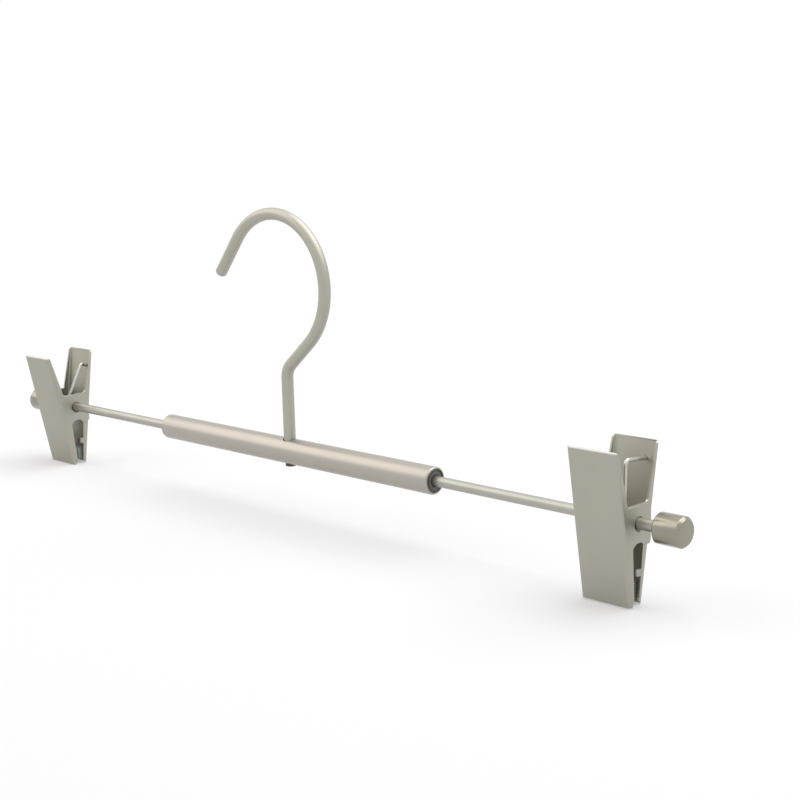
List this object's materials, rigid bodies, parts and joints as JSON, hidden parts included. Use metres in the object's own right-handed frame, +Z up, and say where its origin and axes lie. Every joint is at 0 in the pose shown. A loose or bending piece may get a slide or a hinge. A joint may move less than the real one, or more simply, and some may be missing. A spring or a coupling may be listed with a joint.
{
  "type": "trouser hanger",
  "caption": "Metal hanger with a turning hook, a tube with a thin rod at each end, and sprung clips with soft pads that slide and swing on the rods to hold trousers or skirts.",
  "frame": {"origin": "the point inside the top of the hook's loop that rests on a rail", "axes": "+X along the bar to the end whose clip is nearer the tube, -Y to the front, +Z up; the hook's mouth opens to -X"},
  "size_m": [0.3546, 0.0259, 0.1201],
  "materials": {
    "satin_nickel": "satin nickel plate",
    "pale_nickel": "satin nickel plate",
    "bright_nickel": "bright nickel plate",
    "dark_plastic": "plain",
    "dark_steel": "dark",
    "grip_rubber": "plain"
  },
  "bodies": {
    "hook": {"hook": "satin_nickel", "hook_retainer": "dark_steel"},
    "bar": {"tube": "pale_nickel", "left_bush": "dark_plastic", "right_bush": "dark_plastic", "left_rod": "satin_nickel", "right_rod": "satin_nickel", "left_knob": "bright_nickel", "right_knob": "bright_nickel"},
    "left_spring": {"left_spring": "bright_nickel"},
    "left_front_jaw": {"left_front_jaw": "satin_nickel", "left_front_pad": "grip_rubber"},
    "left_rear_jaw": {"left_rear_jaw": "satin_nickel", "left_rear_pad": "grip_rubber"},
    "right_spring": {"right_spring": "bright_nickel"},
    "right_front_jaw": {"right_front_jaw": "satin_nickel", "right_front_pad": "grip_rubber"},
    "right_rear_jaw": {"right_rear_jaw": "satin_nickel", "right_rear_pad": "grip_rubber"}
  },
  "joints": [
    {"name": "hook_swivel", "type": "hinge", "parent": "hook", "child": "bar", "pos_m": [0.00465, 0, -0.08858], "axis": [0, 0, 1], "continuous": true},
    {"name": "left_clip_slide", "type": "slide", "parent": "bar", "child": "left_spring", "axis": [1, 0, 0], "range_m": [-0.0026, 0.0704]},
    {"name": "left_clip_swing", "type": "hinge", "parent": "left_spring", "child": "left_front_jaw", "pos_m": [-0.15085, 0, -0.08858], "axis": [1, 0, 0], "continuous": true},
    {"name": "left_clip_open", "type": "hinge", "parent": "left_front_jaw", "child": "left_rear_jaw", "pos_m": [-0.15085, 0, -0.08858], "axis": [1, 0, 0], "range_deg": [0, 22], "stiffness_Nm_per_rad": 0.1, "springref_deg": -57.3, "deforming": ["left_spring"]},
    {"name": "right_clip_slide", "type": "slide", "parent": "bar", "child": "right_spring", "axis": [1, 0, 0], "range_m": [-0.0656, 0.0074]},
    {"name": "right_clip_swing", "type": "hinge", "parent": "right_spring", "child": "right_front_jaw", "pos_m": [0.15535, 0, -0.08858], "axis": [1, 0, 0], "continuous": true},
    {"name": "right_clip_open", "type": "hinge", "parent": "right_front_jaw", "child": "right_rear_jaw", "pos_m": [0.15535, 0, -0.08858], "axis": [1, 0, 0], "range_deg": [0, 22], "stiffness_Nm_per_rad": 0.1, "springref_deg": -57.3, "deforming": ["right_spring"]}
  ]
}
